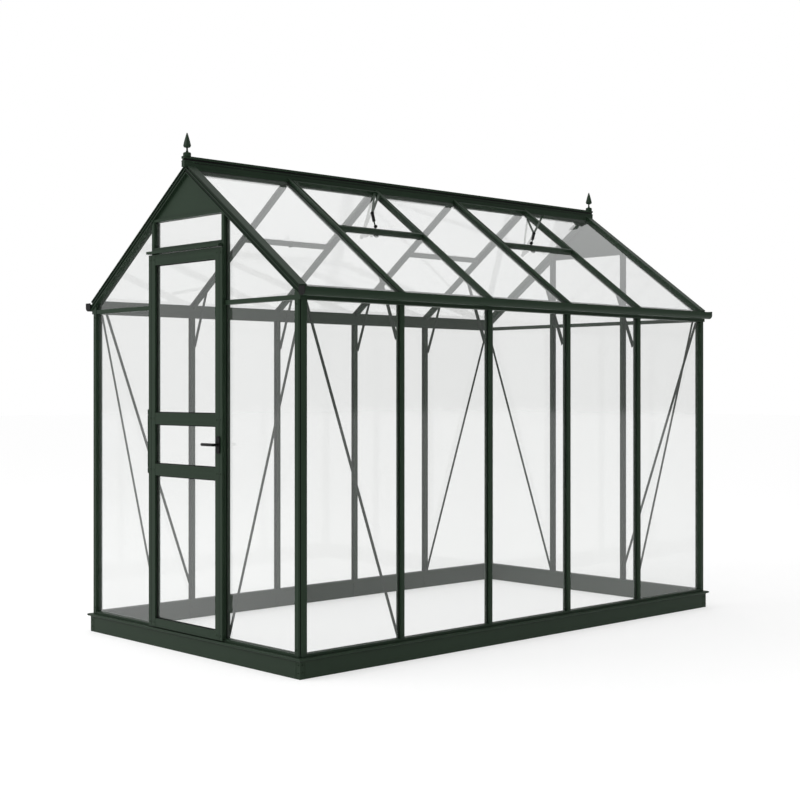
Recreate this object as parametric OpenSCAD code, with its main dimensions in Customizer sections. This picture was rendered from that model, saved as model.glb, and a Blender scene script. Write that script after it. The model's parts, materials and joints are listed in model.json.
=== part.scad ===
// Hobby greenhouse: an aluminium frame with clear polycarbonate sheets, standing on
// a sheet steel plinth. The ridge runs along Y, the door gable faces -Y, and the
// ground under the plinth is z = 0. All sizes are millimetres.

/* [Overall] */
// Outer length of the frame along the ridge
frame_len = 3148; // [2000:1:5000]
// Outer width of the frame across the gable
frame_wid = 1786; // [1300:1:2600]
// Height of the roof's outer face over the long walls
eave_z = 1791; // [1400:1:2300]
// Roof pitch in degrees
roof_pitch = 36; // [20:1:45]
// Number of bays along each long wall
side_bays = 5; // [3:2:9]
// Extra length of each end bay beside its corner post
corner_extra = 19; // [0:1:60]
// Distance between the two door posts, centre to centre
door_bay = 602; // [480:1:800]
// Distance between the two bars of the back gable, centre to centre
back_bay = 582; // [480:1:800]

/* [Plinth] */
// Height of the plinth
base_h = 96; // [40:1:200]
// Distance that the plinth stands proud of the frame
base_set = 5; // [0:1:20]
// Thickness of the plinth's upright web
base_t = 26; // [10:1:60]
// Overhang of the drip lip round the plinth's top
lip_out = 14; // [4:1:30]
// Height of the drip lip and top flange
lip_h = 12; // [4:1:30]

/* [Frame sections] */
// Face width of a glazing bar
bar_w = 24; // [16:1:50]
// Depth of a bar's outer rib, in front of the sheet
bar_out = 17; // [6:1:30]
// Whole depth of a glazing bar
bar_d = 40; // [28:1:70]
// Width of the web between two sheets
web_w = 8; // [4:1:14]
// Width of a bar's inner chamber
chamber_w = 18; // [12:1:30]
// Face width of a roof bar
roof_bar_w = 18; // [14:1:50]
// Width of a roof bar's inner chamber
roof_chamber_w = 12; // [9:1:30]
// Chamfer on a bar's outer edges
bar_chamfer = 3; // [0.5:0.5:6]
// Thickness of the polycarbonate sheets
sheet_t = 4; // [2:1:10]
// Extra face size of a corner post over the depth of a bar
post_extra = 0; // [0:1:30]
// Leg of the chamfer on a corner post
post_chamfer = 14; // [6:1:20]
// Width of the groove down a corner post's chamfer
post_groove = 4; // [2:1:6]
// Height of the bottom rails
sill_h = 14; // [8:1:40]
// Height of an eave beam's outer face under the sheets
beam_h = 43; // [30:1:90]
// Face height of the gable's cross rails
rail_h = 22; // [12:1:40]
// Face height of the rails under the solid gable tops
apex_rail_h = 13; // [8:1:40]
// Depth of the gable rafters, square to the slope
rafter_d = 40; // [30:1:90]

/* [Ridge and gutters] */
// Half width of the ridge beam
ridge_beam_hw = 16; // [12:1:30]
// Height of the ridge beam
ridge_beam_h = 30; // [20:1:80]
// Half width of the ridge cap's web between the roof bars
cap_hw = 12; // [8:1:16]
// Height of the ridge cap's crest over the meeting point of the roof planes
cap_rise = 35; // [25:1:60]
// Distance that the ridge cap runs past each gable
cap_over = 22; // [0:1:30]
// Outside diameter of the gutters
gutter_dia = 44; // [30:1:80]
// Wall of the gutters
gutter_wall = 3; // [2:0.5:5]
// Distance that a gutter runs past each gable
gutter_over = 8; // [0:1:40]
// Thickness of the gutter end caps
gutter_cap_t = 4; // [2:1:10]
// Height of a finial over the ridge cap
finial_h = 118; // [80:1:200]
// Widest radius of a finial's spear
finial_r = 20; // [10:1:40]
// Radius of the drum under a finial
finial_drum_r = 20; // [10:1:20]
// Distance of a finial in from the gable's outer face
finial_set = 3; // [0:1:20]

/* [Roof vents] */
// Distance of a roof vent's upper edge from the middle of the ridge
vent_start = 32; // [28:1:80]
// Length of a roof vent, measured across the level
vent_run = 373; // [200:1:500]
// Face width of a vent's upper and lower rails
vent_rail_w = 12; // [8:1:40]
// Face width of a vent's side rails
vent_stile_w = 7; // [5:1:40]
// Rise of a vent's frame over the roof bars
vent_up = 1; // [0:1:20]
// Depth of the cross bar under a vent's lower edge
vent_sill_d = 10; // [6:1:19]
// Gap beside a vent's frame
vent_gap = 4; // [2:1:12]
// Width of the cross bar under a vent's lower edge
vent_sill_w = 30; // [16:1:40]

/* [Door] */
// Lap of the door leaf over the middle of each door post
leaf_lap = 16.5; // [14:0.5:30]
// Height of the rails under the solid gable tops, over the ground
apex_rail_z = 2170; // [1800:1:2300]
// Height of the door head's underside over the ground
door_head_z = 2006; // [1700:1:2200]
// Distance that the leaf's face stands in front of the frame
leaf_out = 14; // [10:1:30]
// Depth of the leaf behind the frame's outer face
leaf_in = 12; // [6:1:20]
// Clearance round the leaf
door_gap = 5; // [5:0.5:12]
// Clearance between the leaf's back part and the posts
leaf_side_gap = 7; // [5:0.5:15]
// Face width of the leaf's stiles
stile_w = 57; // [40:1:90]
// Height of the leaf's top rail
top_rail_h = 54; // [40:1:120]
// Height of the leaf's bottom rail
bottom_rail_h = 43; // [40:1:120]
// Height of the leaf's two middle rails
mid_rail_h = 59; // [30:1:100]
// Height of the upper middle rail's lower edge over the ground
upper_mid_z = 1136; // [900:1:1400]
// Height of the lower middle rail's lower edge over the ground
lower_mid_z = 875; // [600:1:1100]
// Radius of the hinge barrel
hinge_r = 6; // [4:0.5:10]
// Radius of the hinge pin
pin_r = 3; // [2:0.5:5]
// Height of the spindle over the ground
handle_z = 1046; // [900:1:1200]
// Length of the lever from its spindle
lever_len = 96; // [70:1:140]
// Distance from the handle plate to the lever's axis
lever_reach = 29; // [20:1:60]

/* [Bracing] */
// Width of the flat braces
brace_w = 15; // [8:1:30]
// Thickness of the flat braces
brace_t = 3; // [2:1:8]
// Distance of a knee strut's foot below the eave beam
knee_drop = 152; // [60:1:300]
// Distance of a knee strut's head in from the glazing bars
knee_run = 141; // [60:1:300]

/* [Hidden] */
// Half width and half length of the frame
wx = frame_wid / 2;
wy = frame_len / 2;
// Pitch of the glazing bars on the long walls
bay = (frame_len - 2 * corner_extra) / side_bays;
// Face size of a corner post
post_s = bar_d + post_extra;
// Slope of the roof as a rise for each unit across
rise = tan(roof_pitch);
// Meeting point of the two roof planes
apex_z = eave_z + wx * rise;
// A step square to the slope, measured upright
up = 1 / cos(roof_pitch);
// Depth of a sheet's inner face behind the frame's outer face
sheet_in = bar_out + sheet_t;
// Top of the bottom rails and underside of the eave beams
sill_z = base_h + sill_h;
beam_z = eave_z - sheet_in * up - beam_h;
// Underside of the gable's thin cross rails, level with the eave beams
rail_z = beam_z;
// Distance of the door posts and of the back gable's bars from the middle
post_x = door_bay / 2;
back_x = back_bay / 2;
// Front face of the door leaf and back face of its flange
leaf_y = -wy - leaf_out;
flange_t = leaf_out - door_gap;
leaf_back_y = -wy + leaf_in;
leaf_x = post_x + leaf_lap;
leaf_z0 = base_h + door_gap + 1;
leaf_z1 = door_head_z - door_gap;
leaf_core_x = post_x - bar_w / 2 - leaf_side_gap;
leaf_core_z0 = sill_z + door_gap + 1;
leaf_open_x = leaf_x - stile_w;
// Sheet in the door leaf
door_sheet_y = leaf_y + 14;
// Hinge axis, outside the leaf's edge
hinge_web = 2.5;
hinge_x = -leaf_x - hinge_r - hinge_web;
hinge_y = leaf_y + hinge_r;
pin_gap = 0.05;
knuckle_h = 28;
knuckle_gap = 2;
hinge_z0 = lower_mid_z + 9;
hinge_z1 = upper_mid_z + mid_rail_h + 16;
hinge_plate = 4;
// Handle on the free stile
handle_x = leaf_x - stile_w / 2;
plate_w = 28;
plate_h = 86;
plate_t = 6;
lever_r = 7.5;
spindle_r = 4;
lever_gap = 0.4;
// Door hood over the leaf
hood_h = 13;
hood_out = 26;
hood_x0 = -leaf_x - 6;
hood_x1 = post_x + 2;
head_rail_h = 31;
// Roof vents stand in every second bay
vent_bays = [for (i = [1 : 2 : side_bays - 2]) i];
vent_x1 = vent_start + vent_run;
// Depth of a vent's sheet under the roof's outer face
vent_sheet_d = 19;
// Gutter centre beside and below the eave
gutter_r = gutter_dia / 2;
gutter_x = wx + gutter_r + 2;
gutter_z = beam_z + gutter_r + 16;
gutter_top = gutter_z + gutter_r;
// Roof bars and sheets reach this far over the gutter
bar_over = 10;
sheet_over = 16;
// Top of the ridge beam, and the ridge cap's crest
ridge_z = apex_z - 19;
crest_z = apex_z + cap_rise;
smooth = 48;

// Centre of glazing bar i on the long walls, from 1 to side_bays - 1
function bar_y(i) = -wy + corner_extra + i * bay;
// Height of the roof's outer face at distance x from the middle
function roof_z(x) = apex_z - x * rise;

// Box between two corners
module block(a, b) {
    translate(a) cube(b - a);
}

// Outline in X and Z, drawn out along Y
module along_y(y0, y1) {
    translate([0, y1, 0]) rotate([90, 0, 0]) linear_extrude(y1 - y0) children();
}

// Outline in Y and Z, drawn out along X
module along_x(x0, x1) {
    translate([x0, 0, 0]) rotate([90, 0, 90]) linear_extrude(x1 - x0) children();
}

module mirror_x() {
    mirror([1, 0, 0]) children();
}

module mirror_y() {
    mirror([0, 1, 0]) children();
}

// Frame of the right roof slope: X runs down the slope, Z stands square to it
module on_slope() {
    translate([0, 0, apex_z]) rotate([0, roof_pitch, 0]) children();
}

// Section of a glazing bar with face width w and chamber width c, its outer face at y = 0
module bar_section(w, c) {
    half = [
        [w / 2 - bar_chamfer, 0],
        [w / 2, -bar_chamfer],
        [w / 2, -bar_out],
        [web_w / 2, -bar_out],
        [web_w / 2, -sheet_in],
        [c / 2, -sheet_in],
        [c / 2, -bar_d]
    ];
    count = len(half);
    polygon(concat(half, [for (i = [count - 1 : -1 : 0]) [-half[i][0], half[i][1]]]));
}

// Upright glazing bar on the right wall
module side_bar(y, z0, z1) {
    translate([wx, y, z0]) rotate([0, 0, -90]) linear_extrude(z1 - z0)
        bar_section(bar_w, chamber_w);
}

// Upright glazing bar on the front gable
module gable_bar(x, z0, z1) {
    translate([x, -wy, z0]) rotate([0, 0, 180]) linear_extrude(z1 - z0)
        bar_section(bar_w, chamber_w);
}

// Section of the plinth, its outer face at x = 0 and the inside at negative x
module base_section() {
    polygon([
        [0, 0],
        [0, base_h - lip_h],
        [lip_out - 4, base_h - lip_h],
        [lip_out, base_h - lip_h + 4],
        [lip_out, base_h - 3],
        [lip_out - 3, base_h],
        [-bar_d - base_set, base_h],
        [-bar_d - base_set, base_h - 4],
        [-base_t, base_h - 4],
        [-base_t, 0]
    ]);
}

// Plinth side of half length half_len whose outer face stands at x = face, mitred
module base_side(face, half_len) {
    far = lip_out + 1;
    deep = bar_d + base_set + 1;
    intersection() {
        along_y(-half_len - far, half_len + far) translate([face, 0]) base_section();
        linear_extrude(base_h + 1) polygon([
            [face + far, half_len + far],
            [face + far, -half_len - far],
            [face - deep, -half_len + deep],
            [face - deep, half_len - deep]
        ]);
    }
}

module right_base() {
    color("darkslategray") base_side(wx + base_set, wy + base_set);
}

module left_base() {
    color("darkslategray") mirror_x() base_side(wx + base_set, wy + base_set);
}

module front_base() {
    color("darkslategray") rotate([0, 0, -90]) base_side(wy + base_set, wx + base_set);
}

module back_base() {
    color("darkslategray") rotate([0, 0, 90]) base_side(wy + base_set, wx + base_set);
}

module right_sill() {
    color("seagreen") block([wx - bar_d, -wy + post_s, base_h], [wx - 2, wy - post_s, sill_z]);
}

module left_sill() {
    mirror_x() right_sill();
}

module front_sill() {
    color("seagreen") block([-wx + post_s, -wy + 2, base_h], [wx - post_s, -wy + bar_d, sill_z]);
}

module back_sill() {
    mirror_y() front_sill();
}

// Corner post at the front right, grooved down its chamfer
module corner_post() {
    c = post_chamfer;
    g = post_groove / 2 * sqrt(0.5);
    m = c / 2;
    color("darkgreen") translate([wx, -wy, base_h]) mirror([1, 0, 0])
        linear_extrude(beam_z - base_h) polygon([
            [c, 0],
            [m + g, m - g],
            [m + 3 * g, m + g],
            [m + g, m + 3 * g],
            [m - g, m + g],
            [0, c],
            [0, post_s],
            [post_s, post_s],
            [post_s, 0]
        ]);
}

module front_right_post() {
    corner_post();
}

module front_left_post() {
    mirror_x() corner_post();
}

module back_right_post() {
    mirror_y() corner_post();
}

module back_left_post() {
    mirror_x() mirror_y() corner_post();
}

module right_wall_bars() {
    color("mediumseagreen") for (i = [1 : side_bays - 1]) side_bar(bar_y(i), sill_z, beam_z);
}

module left_wall_bars() {
    mirror_x() right_wall_bars();
}

// Front gable rafters, left and right in one piece, with a leg over each corner post
module gable_rafters() {
    low = rafter_d * up;
    inner = wx - post_s;
    color("darkolivegreen") along_y(-wy, -wy + post_s) polygon([
        [wx, beam_z],
        [wx, roof_z(wx)],
        [0, apex_z],
        [-wx, roof_z(wx)],
        [-wx, beam_z],
        [-inner, beam_z],
        [-inner, roof_z(inner) - low],
        [0, apex_z - low],
        [inner, roof_z(inner) - low],
        [inner, beam_z]
    ]);
}

// Room between the plinth and the front gable rafters, which the gable's pieces fill
module under_rafters() {
    low = rafter_d * up;
    inner = wx - post_s;
    along_y(-wy, -wy + post_s) polygon([
        [-inner, base_h],
        [inner, base_h],
        [inner, roof_z(inner) - low],
        [0, apex_z - low],
        [-inner, roof_z(inner) - low]
    ]);
}

module front_gable_rafters() {
    gable_rafters();
}

module back_gable_rafters() {
    mirror_y() gable_rafters();
}

// Gable post with its head fitted to the rafters
module gable_post(x) {
    intersection() {
        gable_bar(x, sill_z, apex_rail_z);
        under_rafters();
    }
}

module left_door_post() {
    color("mediumseagreen") gable_post(-post_x);
}

module right_door_post() {
    color("mediumseagreen") gable_post(post_x);
}

module back_gable_bars() {
    color("mediumseagreen") mirror_y() {
        gable_post(-back_x);
        gable_post(back_x);
    }
}

// Cross rail of a gable between x0 and x1, flush with the outer ribs
module gable_rail(x0, x1, z) {
    block([x0, -wy + 2, z], [x1, -wy + bar_d - 4, z + rail_h]);
}

module front_right_rail() {
    color("olivedrab") gable_rail(post_x + bar_w / 2, wx - post_s, rail_z);
}

module front_left_rail() {
    mirror_x() front_right_rail();
}

module back_rails() {
    near = back_x - bar_w / 2;
    far = back_x + bar_w / 2;
    color("olivedrab") mirror_y() {
        gable_rail(far, wx - post_s, rail_z);
        gable_rail(-near, near, rail_z);
        gable_rail(-wx + post_s, -far, rail_z);
    }
}

// Rail under a solid gable top, fitted between the rafters
module apex_rail() {
    reach = (apex_z - apex_rail_z) / rise;
    color("olivedrab") intersection() {
        block([-reach, -wy - 4, apex_rail_z], [reach, -wy + bar_d, apex_rail_z + apex_rail_h]);
        under_rafters();
    }
}

module front_apex_rail() {
    apex_rail();
}

module back_apex_rail() {
    mirror_y() apex_rail();
}

module front_apex_panel() {
    z0 = apex_rail_z + apex_rail_h;
    reach = (apex_z - z0) / rise;
    color("darkgreen") intersection() {
        along_y(-wy + 8, -wy + 26) polygon([[-reach, z0], [reach, z0], [0, apex_z]]);
        under_rafters();
    }
}

module back_apex_panel() {
    mirror_y() front_apex_panel();
}

// Eave beam on the right wall, its top under the roof sheets
module eave_beam() {
    inner = wx - bar_d;
    along_y(-wy + post_s, wy - post_s) polygon([
        [wx, beam_z],
        [wx, roof_z(wx) - sheet_in * up],
        [inner, roof_z(inner) - sheet_in * up],
        [inner, beam_z]
    ]);
}

module right_eave_beam() {
    color("seagreen") eave_beam();
}

module left_eave_beam() {
    mirror_x() right_eave_beam();
}

// Half of a gutter's section: a round trough with upright sides
module trough(r) {
    union() {
        circle(r, $fn = smooth);
        translate([-r, 0]) square([2 * r, gutter_r]);
    }
}

// Gutter on the right, its back lip cut down under the roof sheets
module right_gutter() {
    x0 = wx - gutter_r;
    under = sheet_in * up + 1;
    color("green") along_y(-wy - gutter_over, wy + gutter_over) difference() {
        translate([gutter_x, gutter_z]) trough(gutter_r);
        translate([gutter_x, gutter_z]) trough(gutter_r - gutter_wall);
        translate([gutter_x - gutter_r, gutter_top - gutter_wall]) square([gutter_dia, gutter_dia]);
        polygon([
            [x0, roof_z(x0) - under],
            [x0, gutter_top + gutter_r],
            [gutter_x, gutter_top + gutter_r],
            [gutter_x, roof_z(gutter_x) - under]
        ]);
    }
}

module left_gutter() {
    mirror_x() right_gutter();
}

module gutter_end_caps() {
    y0 = wy + gutter_over;
    color("black") for (sx = [0, 1]) for (sy = [0, 1]) mirror([sx, 0, 0]) mirror([0, sy, 0])
        along_y(y0, y0 + gutter_cap_t) translate([gutter_x, gutter_z]) trough(gutter_r);
}

// Section of the ridge beam, with a shallow groove along each side
module ridge_beam_section() {
    h = ridge_beam_hw;
    low = ridge_z - ridge_beam_h;
    half = [
        [h, ridge_z],
        [h, low + 17],
        [h - 5, low + 16],
        [h - 5, low + 13],
        [h, low + 12],
        [h, low]
    ];
    count = len(half);
    polygon(concat(half, [for (i = [count - 1 : -1 : 0]) [-half[i][0], half[i][1]]]));
}

module ridge_beam() {
    color("seagreen") along_y(-wy + post_s, wy - post_s) ridge_beam_section();
}

// Ridge cap on the beam: a web with a thin lip, a groove and a broad crest
module ridge_cap_body() {
    half = [
        [cap_hw, crest_z],
        [cap_hw + 1, crest_z - 2],
        [cap_hw + 1, crest_z - 12],
        [cap_hw - 6, crest_z - 12],
        [cap_hw - 6, crest_z - 22],
        [cap_hw + 2, crest_z - 22],
        [cap_hw + 2, crest_z - 27],
        [cap_hw, crest_z - 27],
        [cap_hw, ridge_z]
    ];
    count = len(half);
    difference() {
        along_y(-wy - cap_over, wy + cap_over)
            polygon(concat(half, [for (i = [count - 1 : -1 : 0]) [-half[i][0], half[i][1]]]));
        gable_rafters();
        mirror_y() gable_rafters();
    }
}

module ridge_cap() {
    color("darkgreen") ridge_cap_body();
}

// Finial on the ridge cap: a drum, a flared stem and an eight-sided spear
module finial() {
    neck = 42;
    translate([0, -wy + finial_set, crest_z]) {
        rotate_extrude($fn = smooth) polygon([
            [0, 0],
            [finial_drum_r, 0],
            [finial_drum_r, 15],
            [finial_drum_r - 3, 19],
            [8, 21],
            [5, 30],
            [4, 38],
            [6, neck],
            [0, neck]
        ]);
        rotate_extrude($fn = 8) polygon([
            [0, neck - 4],
            [3, neck - 4],
            [3, neck],
            [finial_r * 0.8, neck + 3],
            [finial_r, neck + 12],
            [finial_r * 0.62, finial_h * 0.72],
            [3, finial_h - 2],
            [0, finial_h]
        ]);
    }
}

module front_finial() {
    color("black") finial();
}

module back_finial() {
    color("black") mirror_y() finial();
}

// Roof bars on the right slope, fitted to the ridge, its cap and the eave beam
module roof_bars() {
    difference() {
        on_slope() for (i = [1 : side_bays - 1]) translate([0, bar_y(i), 0])
            along_x(0, (wx + bar_over) * up) bar_section(roof_bar_w, roof_chamber_w);
        eave_beam();
        block([wx, -wy, 0], [wx + bar_d, wy, roof_z(wx) - sheet_in * up]);
        block([-bar_d, -wy, 0], [ridge_beam_hw, wy, ridge_z]);
        block([-bar_d, -wy, 0], [cap_hw, wy, crest_z]);
    }
}

module right_roof_bars() {
    color("mediumseagreen") roof_bars();
}

module left_roof_bars() {
    mirror_x() right_roof_bars();
}

// Cross bars under the lower edges of the roof vents
module right_vent_sills() {
    color("olivedrab") on_slope() for (i = vent_bays)
        block([vent_x1 * up - vent_sill_w, bar_y(i) + roof_chamber_w / 2, -sheet_in - vent_sill_d],
            [vent_x1 * up, bar_y(i + 1) - roof_chamber_w / 2, -sheet_in]);
}

module left_vent_sills() {
    mirror_x() right_vent_sills();
}

// Frame of one vent, lying between the outer ribs of two roof bars
module vent_frame(i) {
    y0 = bar_y(i) + roof_bar_w / 2 + vent_gap;
    y1 = bar_y(i + 1) - roof_bar_w / 2 - vent_gap;
    x0 = vent_start * up;
    x1 = vent_x1 * up;
    difference() {
        block([x0, y0, -sheet_in], [x1, y1, vent_up]);
        block([x0 + vent_rail_w, y0 + vent_stile_w, -bar_d],
            [x1 - vent_rail_w, y1 - vent_stile_w, bar_d]);
    }
}

module right_vent_frames() {
    color("green") on_slope() for (i = vent_bays) vent_frame(i);
}

module left_vent_frames() {
    mirror_x() right_vent_frames();
}

// Sheets of the right slope: full ones, short ones under the vents, and the vents' own
module right_roof_sheets() {
    x0 = (ridge_beam_hw + 1) * up;
    x1 = (wx + sheet_over) * up;
    color("lightcyan") difference() {
        on_slope() {
            for (i = [0 : side_bays - 1]) {
                y0 = i == 0 ? -wy + post_s : bar_y(i) + web_w / 2;
                y1 = i == side_bays - 1 ? wy - post_s : bar_y(i + 1) - web_w / 2;
                vented = len(search(i, vent_bays)) > 0;
                start = vented ? vent_x1 * up + 1 : x0;
                block([start, y0, -sheet_in], [x1, y1, -bar_out]);
            }
            for (i = vent_bays) {
                side = roof_bar_w / 2 + vent_gap + vent_stile_w;
                block([vent_start * up + vent_rail_w, bar_y(i) + side, -vent_sheet_d],
                    [vent_x1 * up - vent_rail_w, bar_y(i + 1) - side, sheet_t - vent_sheet_d]);
            }
        }
        block([-bar_d, -wy, 0], [ridge_beam_hw, wy, apex_z]);
    }
}

module left_roof_sheets() {
    mirror_x() right_roof_sheets();
}

// Sheets of the right wall
module right_wall_sheets() {
    color("lightcyan") for (i = [0 : side_bays - 1]) {
        y0 = i == 0 ? -wy + post_s : bar_y(i) + web_w / 2;
        y1 = i == side_bays - 1 ? wy - post_s : bar_y(i + 1) - web_w / 2;
        block([wx - sheet_in, y0, sill_z], [wx - bar_out, y1, beam_z]);
    }
}

module left_wall_sheets() {
    mirror_x() right_wall_sheets();
}

// Gable sheet between x0 and x1 and between z0 and z1, trimmed to the rafters
module gable_sheet(x0, x1, z0, z1) {
    intersection() {
        block([x0, -wy + bar_out, z0], [x1, -wy + sheet_in, z1]);
        under_rafters();
    }
}

// Two sheets between the bar at x and the corner post, under and over the cross rail
module gable_side_sheets(x) {
    x0 = x + web_w / 2;
    x1 = wx - post_s;
    gable_sheet(x0, x1, sill_z, rail_z);
    gable_sheet(x0, x1, rail_z + rail_h, apex_rail_z);
}

module front_right_sheets() {
    color("lightcyan") gable_side_sheets(post_x);
}

module front_left_sheets() {
    mirror_x() front_right_sheets();
}

module door_head_sheet() {
    x1 = post_x - web_w / 2;
    color("lightcyan") gable_sheet(-x1, x1, door_head_z + head_rail_h, apex_rail_z);
}

module back_sheets() {
    x1 = back_x - web_w / 2;
    color("lightcyan") mirror_y() {
        gable_side_sheets(back_x);
        mirror_x() gable_side_sheets(back_x);
        gable_sheet(-x1, x1, sill_z, rail_z);
        gable_sheet(-x1, x1, rail_z + rail_h, apex_rail_z);
    }
}

// Door head: a rail between the posts with a hood in front of it
module door_head() {
    x1 = post_x - bar_w / 2;
    color("olivedrab") union() {
        block([-x1, -wy, door_head_z], [x1, -wy + bar_d - 4, door_head_z + head_rail_h]);
        block([hood_x0, -wy - hood_out, door_head_z], [hood_x1, -wy, door_head_z + hood_h]);
    }
}

// One door stile at the right: a face flange and a core behind it
module door_stile() {
    groove = leaf_x - stile_w * 0.42;
    union() {
        difference() {
            block([leaf_open_x, leaf_y, leaf_z0], [leaf_x, leaf_y + flange_t, leaf_z1]);
            block([groove - 1.5, leaf_y - 1, leaf_z0 - 1], [groove + 1.5, leaf_y + 2, leaf_z1 + 1]);
        }
        block([leaf_open_x, leaf_y + flange_t, leaf_core_z0], [leaf_core_x, leaf_back_y, leaf_z1]);
    }
}

module door_stiles() {
    color("forestgreen") {
        door_stile();
        mirror_x() door_stile();
    }
}

module door_rail(z0, z1) {
    block([-leaf_open_x, leaf_y + 1, z0], [leaf_open_x, leaf_back_y - 2, z1]);
}

module door_rails() {
    color("forestgreen") {
        door_rail(leaf_z1 - top_rail_h, leaf_z1);
        door_rail(upper_mid_z, upper_mid_z + mid_rail_h);
        door_rail(lower_mid_z, lower_mid_z + mid_rail_h);
        union() {
            door_rail(leaf_core_z0, leaf_z0 + bottom_rail_h);
            block([-leaf_open_x, leaf_y + 1, leaf_z0], [leaf_open_x, leaf_y + flange_t, leaf_core_z0]);
        }
    }
}

module door_sheet(z0, z1) {
    block([-leaf_open_x, door_sheet_y, z0], [leaf_open_x, door_sheet_y + sheet_t, z1]);
}

module door_sheets() {
    color("lightcyan") {
        door_sheet(leaf_z0 + bottom_rail_h, lower_mid_z);
        door_sheet(lower_mid_z + mid_rail_h, upper_mid_z);
        door_sheet(upper_mid_z + mid_rail_h, leaf_z1 - top_rail_h);
    }
}

// Hinge barrel on the leaf, bored for the pin
module door_hinge_barrel() {
    z0 = hinge_z0 + knuckle_h + knuckle_gap;
    z1 = hinge_z1 - knuckle_h - knuckle_gap;
    color("dimgray") difference() {
        union() {
            translate([hinge_x, hinge_y, z0]) cylinder(h = z1 - z0, r = hinge_r, $fn = smooth);
            block([hinge_x, hinge_y - hinge_web, z0], [-leaf_x, hinge_y + hinge_web, z1]);
        }
        translate([hinge_x, hinge_y, z0 - 1])
            cylinder(h = z1 - z0 + 2, r = pin_r + pin_gap, $fn = smooth);
    }
}

// Hinge pin with its two knuckles and the plates that hold them to the door post
module post_hinge() {
    x0 = hinge_x - hinge_plate / 2;
    y1 = -wy + 12;
    color("dimgray") union() {
        translate([hinge_x, hinge_y, hinge_z0]) cylinder(h = hinge_z1 - hinge_z0, r = pin_r, $fn = smooth);
        for (z = [hinge_z0, hinge_z1 - knuckle_h]) {
            translate([hinge_x, hinge_y, z]) cylinder(h = knuckle_h, r = hinge_r, $fn = smooth);
            block([x0, hinge_y, z], [x0 + hinge_plate, y1, z + knuckle_h]);
            block([x0, y1 - hinge_plate, z], [-post_x - bar_w / 2, y1, z + knuckle_h]);
        }
    }
}

// Handle plate with round ends, bored for the spindle
module handle_plate() {
    half = (plate_h - plate_w) / 2;
    color("dimgray") translate([handle_x, leaf_y, handle_z]) rotate([90, 0, 0]) difference() {
        union() {
            for (s = [-1, 1]) translate([0, s * half, 0])
                cylinder(h = plate_t, r = plate_w / 2, $fn = smooth);
            translate([-plate_w / 2, -half, 0]) cube([plate_w, 2 * half, plate_t]);
        }
        translate([0, 0, -1]) cylinder(h = plate_t + 2, r = spindle_r + pin_gap, $fn = smooth);
    }
}

// Lever: spindle, neck and grip
module door_lever() {
    y0 = leaf_y - plate_t - lever_gap;
    axis_y = y0 - lever_reach + lever_gap;
    color("black") union() {
        translate([handle_x, leaf_y - 1, handle_z]) rotate([90, 0, 0])
            cylinder(h = plate_t + 2, r = spindle_r, $fn = smooth);
        translate([handle_x, y0, handle_z]) rotate([90, 0, 0])
            cylinder(h = y0 - axis_y, r = lever_r, $fn = smooth);
        translate([handle_x, axis_y, handle_z]) sphere(r = lever_r, $fn = smooth);
        translate([handle_x, axis_y, handle_z]) rotate([0, -90, 0])
            cylinder(h = lever_len - lever_r, r = lever_r, $fn = smooth);
        translate([handle_x - lever_len + lever_r, axis_y, handle_z]) sphere(r = lever_r, $fn = smooth);
    }
}

// Flat bar between two points of an upright plane
module flat_bar(p, q, w) {
    d = q - p;
    n = [-d[1], d[0]] / norm(d) * w / 2;
    polygon([p + n, q + n, q - n, p - n]);
}

// Braces of the right wall, from each corner post's head to the next bar's foot
module side_braces() {
    x1 = wx - bar_d;
    top = [-wy + post_s + brace_w * 1.6, beam_z + 6];
    foot = [bar_y(1), sill_z + 12];
    along_x(x1 - brace_t, x1) flat_bar(top, foot, brace_w);
    mirror_y() along_x(x1 - brace_t, x1) flat_bar(top, foot, brace_w);
}

// Braces of the front gable, from each corner post's head to the foot of the bar at x
module gable_braces(x) {
    y0 = -wy + bar_d;
    for (s = [0, 1]) mirror([s, 0, 0]) along_y(y0, y0 + brace_t)
        flat_bar([wx - post_s + 4, beam_z - 7], [x, sill_z + 12], brace_w);
}

module wind_braces() {
    color("gray") {
        side_braces();
        mirror_x() side_braces();
        gable_braces(post_x);
        mirror_y() gable_braces(back_x);
    }
}

// Knee struts between the wall bars and the roof bars of the right side
module side_knees() {
    x0 = wx - bar_d;
    z0 = beam_z - knee_drop;
    x1 = x0 - knee_run;
    z1 = roof_z(x1) - bar_d * up;
    run = [x1 - x0, z1 - z0];
    side = [-run[1], run[0]] / norm(run) * brace_w;
    foot = [x0, z0];
    head = [x1, z1] + [0, 60];
    for (i = [1 : side_bays - 1]) along_y(bar_y(i) - 2, bar_y(i) + 2) intersection() {
        polygon([foot, foot + side * 1.2 + [0, -8], head + side, head]);
        polygon([[0, 0], [x0, 0], [x0, roof_z(x0) - bar_d * up], [0, apex_z - bar_d * up]]);
    }
}

module knee_struts() {
    color("gray") {
        side_knees();
        mirror_x() side_knees();
    }
}

// Which piece to draw

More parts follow.
